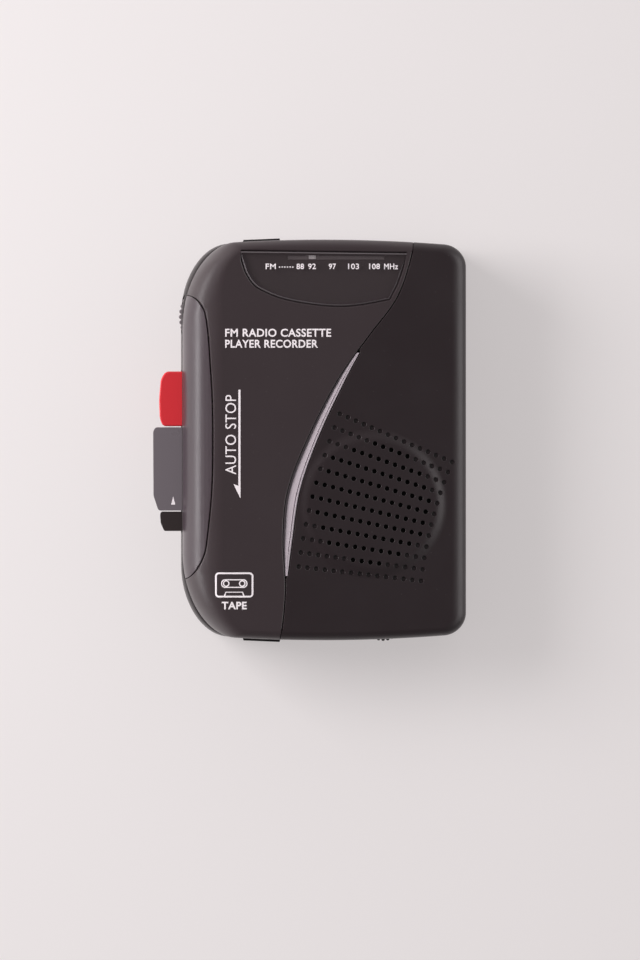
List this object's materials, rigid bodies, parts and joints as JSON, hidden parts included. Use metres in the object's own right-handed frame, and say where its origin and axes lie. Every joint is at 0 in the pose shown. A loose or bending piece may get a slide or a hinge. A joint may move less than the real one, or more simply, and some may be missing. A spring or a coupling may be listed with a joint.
{
  "type": "portable cassette recorder with radio",
  "caption": "Pocket cassette recorder with radio: keys on the left edge, dial window, curved trim seam, round speaker grille, rear cassette door and side battery cover.",
  "frame": {"origin": "middle of the box that holds the body and its keys, on the back face of the cassette door that it lies on", "axes": "+Z out of the front with the speaker and the dial, +Y towards the dial end, +X away from the keys"},
  "size_m": [0.09, 0.1166, 0.0348],
  "materials": {
    "fascia_plastic": "satin",
    "panel_plastic": "satin",
    "trim_plastic": "gloss",
    "grip_plastic": "satin",
    "smoked_window": "gloss",
    "dial_plate": "satin",
    "pale_plastic": "satin",
    "cord": "matte",
    "grey_plastic": "satin",
    "cabinet_plastic": "satin",
    "clear_window": "gloss",
    "steel": "satin",
    "polished_steel": "gloss",
    "inner_plastic": "satin",
    "cell_jacket": "gloss",
    "red_plastic": "gloss",
    "key_black": "satin",
    "board_brown": "satin",
    "board_green": "satin",
    "paper": "matte",
    "magnet": "satin",
    "cloth": "matte",
    "rubber": "matte",
    "brass": "satin"
  },
  "bodies": {
    "housing": {"front_fascia": "fascia_plastic", "speaker_panel": "panel_plastic", "swoosh_trim": "trim_plastic", "side_grip": "grip_plastic", "dial_window": "smoked_window", "dial_scale": "dial_plate", "dial_cord": "cord", "dial_pulleys": "grey_plastic", "rear_cabinet": "cabinet_plastic", "door_hinge_pin": "steel", "battery_tray": "inner_plastic", "battery_cells": "cell_jacket", "battery_contacts": "steel", "battery_spring": "steel", "key_springs": "steel", "tuning_capacitor": "pale_plastic", "volume_pot": "board_brown", "function_switch": "steel", "headphone_jack": "inner_plastic", "power_jack": "inner_plastic", "microphone": "steel", "circuit_board": "board_green", "board_parts": "inner_plastic", "speaker_frame": "steel", "speaker_cone": "paper", "speaker_magnet": "magnet", "grille_cloth": "cloth", "mechanism_plate": "steel", "capstan_bearing": "brass", "motor": "polished_steel", "motor_bracket": "steel", "drive_belt": "rubber", "cabinet_screws": "steel"},
    "door": {"cassette_door": "cabinet_plastic", "door_window": "clear_window", "cassette_springs": "steel"},
    "battery_lid": {"battery_cover": "panel_plastic"},
    "record": {"record_key": "red_plastic", "record_lever": "steel"},
    "play": {"play_key": "grey_plastic", "play_lever": "steel"},
    "stop": {"stop_key": "key_black", "stop_lever": "steel", "lock_bar": "steel"},
    "heads": {"head_plate": "steel", "tape_head": "polished_steel", "erase_head": "inner_plastic", "pinch_bracket": "steel"},
    "pinch": {"pinch_roller": "rubber"},
    "tuning": {"tuning_wheel": "inner_plastic"},
    "pointer": {"dial_pointer": "pale_plastic"},
    "volume": {"volume_wheel": "inner_plastic"},
    "function": {"function_knob": "inner_plastic"},
    "capstan_drive": {"flywheel": "brass", "capstan": "polished_steel"},
    "idler": {"idler_wheel": "rubber"},
    "takeup": {"takeup_spindle": "pale_plastic", "takeup_disc": "pale_plastic"},
    "supply": {"supply_spindle": "pale_plastic"},
    "motor_drive": {"motor_pulley": "brass"}
  },
  "joints": [
    {"name": "door_hinge", "type": "hinge", "parent": "housing", "child": "door", "pos_m": [0.0419, 0, 0.0031], "axis": [0, -1, 0], "range_deg": [0, 75]},
    {"name": "battery_cover_hinge", "type": "hinge", "parent": "housing", "child": "battery_lid", "pos_m": [0.044, 0, 0.0166], "axis": [0, 1, 0], "range_deg": [0, 90]},
    {"name": "record_press", "type": "slide", "parent": "housing", "child": "record", "axis": [1, 0, 0], "range_m": [0, 0.004], "stiffness_N_per_m": 250},
    {"name": "play_press", "type": "slide", "parent": "housing", "child": "play", "axis": [1, 0, 0], "range_m": [0, 0.005], "stiffness_N_per_m": 250},
    {"name": "stop_press", "type": "slide", "parent": "housing", "child": "stop", "axis": [1, 0, 0], "range_m": [0, 0.0035], "stiffness_N_per_m": 250},
    {"name": "head_slide", "type": "slide", "parent": "housing", "child": "heads", "axis": [1, 0, 0], "range_m": [0, 0.00315]},
    {"name": "pinch_spin", "type": "hinge", "parent": "heads", "child": "pinch", "pos_m": [-0.0272, -0.0275, 0.0083], "axis": [0, 0, 1], "continuous": true},
    {"name": "tuning_turn", "type": "hinge", "parent": "housing", "child": "tuning", "pos_m": [-0.0271, 0.0355, 0.0175], "axis": [0, 0, 1], "range_deg": [-205, 61]},
    {"name": "pointer_slide", "type": "slide", "parent": "housing", "child": "pointer", "axis": [1, 0, 0], "range_m": [-0.0059, 0.0195]},
    {"name": "volume_turn", "type": "hinge", "parent": "housing", "child": "volume", "pos_m": [0.0213, -0.0515, 0.0175], "axis": [0, 0, 1], "range_deg": [-60, 220]},
    {"name": "function_slide", "type": "slide", "parent": "housing", "child": "function", "axis": [1, 0, 0], "range_m": [0, 0.0035]},
    {"name": "capstan_spin", "type": "hinge", "parent": "housing", "child": "capstan_drive", "pos_m": [-0.0185, -0.0275, 0.018], "axis": [0, 0, 1], "continuous": true},
    {"name": "idler_spin", "type": "hinge", "parent": "housing", "child": "idler", "pos_m": [-0.0067, -0.02482, 0.0173], "axis": [0, 0, 1], "continuous": true},
    {"name": "takeup_spin", "type": "hinge", "parent": "housing", "child": "takeup", "pos_m": [0.009, -0.02125, 0.014], "axis": [0, 0, 1], "continuous": true},
    {"name": "supply_spin", "type": "hinge", "parent": "housing", "child": "supply", "pos_m": [0.009, 0.02125, 0.014], "axis": [0, 0, 1], "continuous": true},
    {"name": "motor_spin", "type": "hinge", "parent": "housing", "child": "motor_drive", "pos_m": [-0.008, 0.0232, 0.0197], "axis": [0, 0, 1], "continuous": true}
  ],
  "couplings": [
    {"joint": "head_slide", "follows": "play_press", "ratio": 0.629},
    {"joint": "pointer_slide", "follows": "tuning_turn", "m_per_rad": -0.0054},
    {"joint": "motor_spin", "follows": "capstan_spin", "ratio": 5.3182},
    {"joint": "idler_spin", "follows": "capstan_spin", "ratio": -0.9999},
    {"joint": "takeup_spin", "follows": "capstan_spin", "ratio": 0.6}
  ]
}
